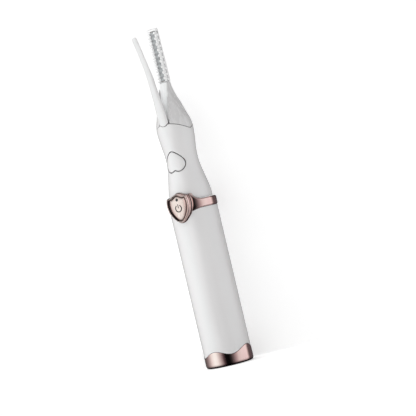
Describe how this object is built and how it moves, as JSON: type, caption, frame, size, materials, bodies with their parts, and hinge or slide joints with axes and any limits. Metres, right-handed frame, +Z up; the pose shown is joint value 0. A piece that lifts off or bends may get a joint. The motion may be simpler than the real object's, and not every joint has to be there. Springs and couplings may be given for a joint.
{
  "type": "heated eyelash curler",
  "caption": "Pen-shaped cordless heated eyelash curler: a fixed heated comb and a hinged clamp jaw that closes on it when the thumb button in the neck is pressed.",
  "frame": {"origin": "centre of the base's bottom face", "axes": "+Z up the handle to the comb's tip, -Y the front with the power shield, thumb button and clamp jaw, +X to the right seen from the front"},
  "size_m": [0.0206, 0.0251, 0.1435],
  "materials": {
    "rose_gold": "polished rose-gold plating",
    "rose_plate": "pale rose-gold plating, satin",
    "gloss_white": "high-gloss moulded",
    "satin_white": "satin moulded",
    "comb_white": "heat-resistant, gloss",
    "inner_plastic": "matt moulded",
    "black_plastic": "matt moulded",
    "clear": "clear acrylic",
    "steel": "bright",
    "spring_steel": "drawn wire",
    "heater_metal": "dark coated metal",
    "insulator": "mica sheet",
    "sensor_resin": "epoxy bead",
    "wire_red": "silicone insulated",
    "silicone": "soft, matt",
    "board_green": "solder mask",
    "lamp_white": "clear resin",
    "ceramic_tan": "ceramic chip",
    "cell_wrap": "heat-shrink film",
    "nickel": "nickel strip",
    "foam_grey": "closed-cell foam"
  },
  "bodies": {
    "handle": {"base_cap": "rose_gold", "barrel_tube": "gloss_white", "end_plug": "inner_plastic", "usb_socket": "steel", "usb_tongue": "black_plastic", "ring_bezel": "rose_gold", "neck_shell": "gloss_white", "head_frame": "satin_white", "retaining_plate": "inner_plastic", "frame_screws": "steel", "comb_guard": "comb_white", "heater_plate": "heater_metal", "heater_insulator": "insulator", "thermal_sensor": "sensor_resin", "heater_wires": "wire_red", "jaw_pin": "steel", "jaw_spring": "spring_steel", "rocker_pin": "steel", "circuit_board": "board_green", "tact_switch": "black_plastic", "led_chip": "lamp_white", "control_chip": "black_plastic", "charge_chip": "black_plastic", "board_passives": "ceramic_tan", "board_screws": "steel", "chassis_tray": "inner_plastic", "battery_cell": "cell_wrap", "battery_tabs": "nickel", "battery_foam": "foam_grey"},
    "jaw": {"clamp_jaw": "gloss_white", "jaw_pad": "silicone"},
    "rocker": {"rocker": "inner_plastic"},
    "thumb": {"thumb_button": "gloss_white"},
    "power": {"shield_button": "rose_plate", "light_pipe": "clear", "tact_plunger": "black_plastic"}
  },
  "joints": [
    {"name": "jaw_hinge", "type": "hinge", "parent": "handle", "child": "jaw", "pos_m": [0, -0.004, 0.0989], "axis": [-1, 0, 0], "range_deg": [0, 16.87]},
    {"name": "rocker_hinge", "type": "hinge", "parent": "handle", "child": "rocker", "pos_m": [0, -0.0012, 0.0903], "axis": [1, 0, 0], "range_deg": [0, 18.81]},
    {"name": "thumb_press", "type": "slide", "parent": "handle", "child": "thumb", "axis": [0, 1, 0], "range_m": [0, 0.0013]},
    {"name": "power_press", "type": "slide", "parent": "handle", "child": "power", "axis": [0, 1, 0], "range_m": [0, 0.0003]}
  ],
  "couplings": [
    {"joint": "rocker_hinge", "follows": "jaw_hinge", "ratio": 1.1143},
    {"joint": "thumb_press", "follows": "jaw_hinge", "m_per_rad": 0.00442}
  ]
}
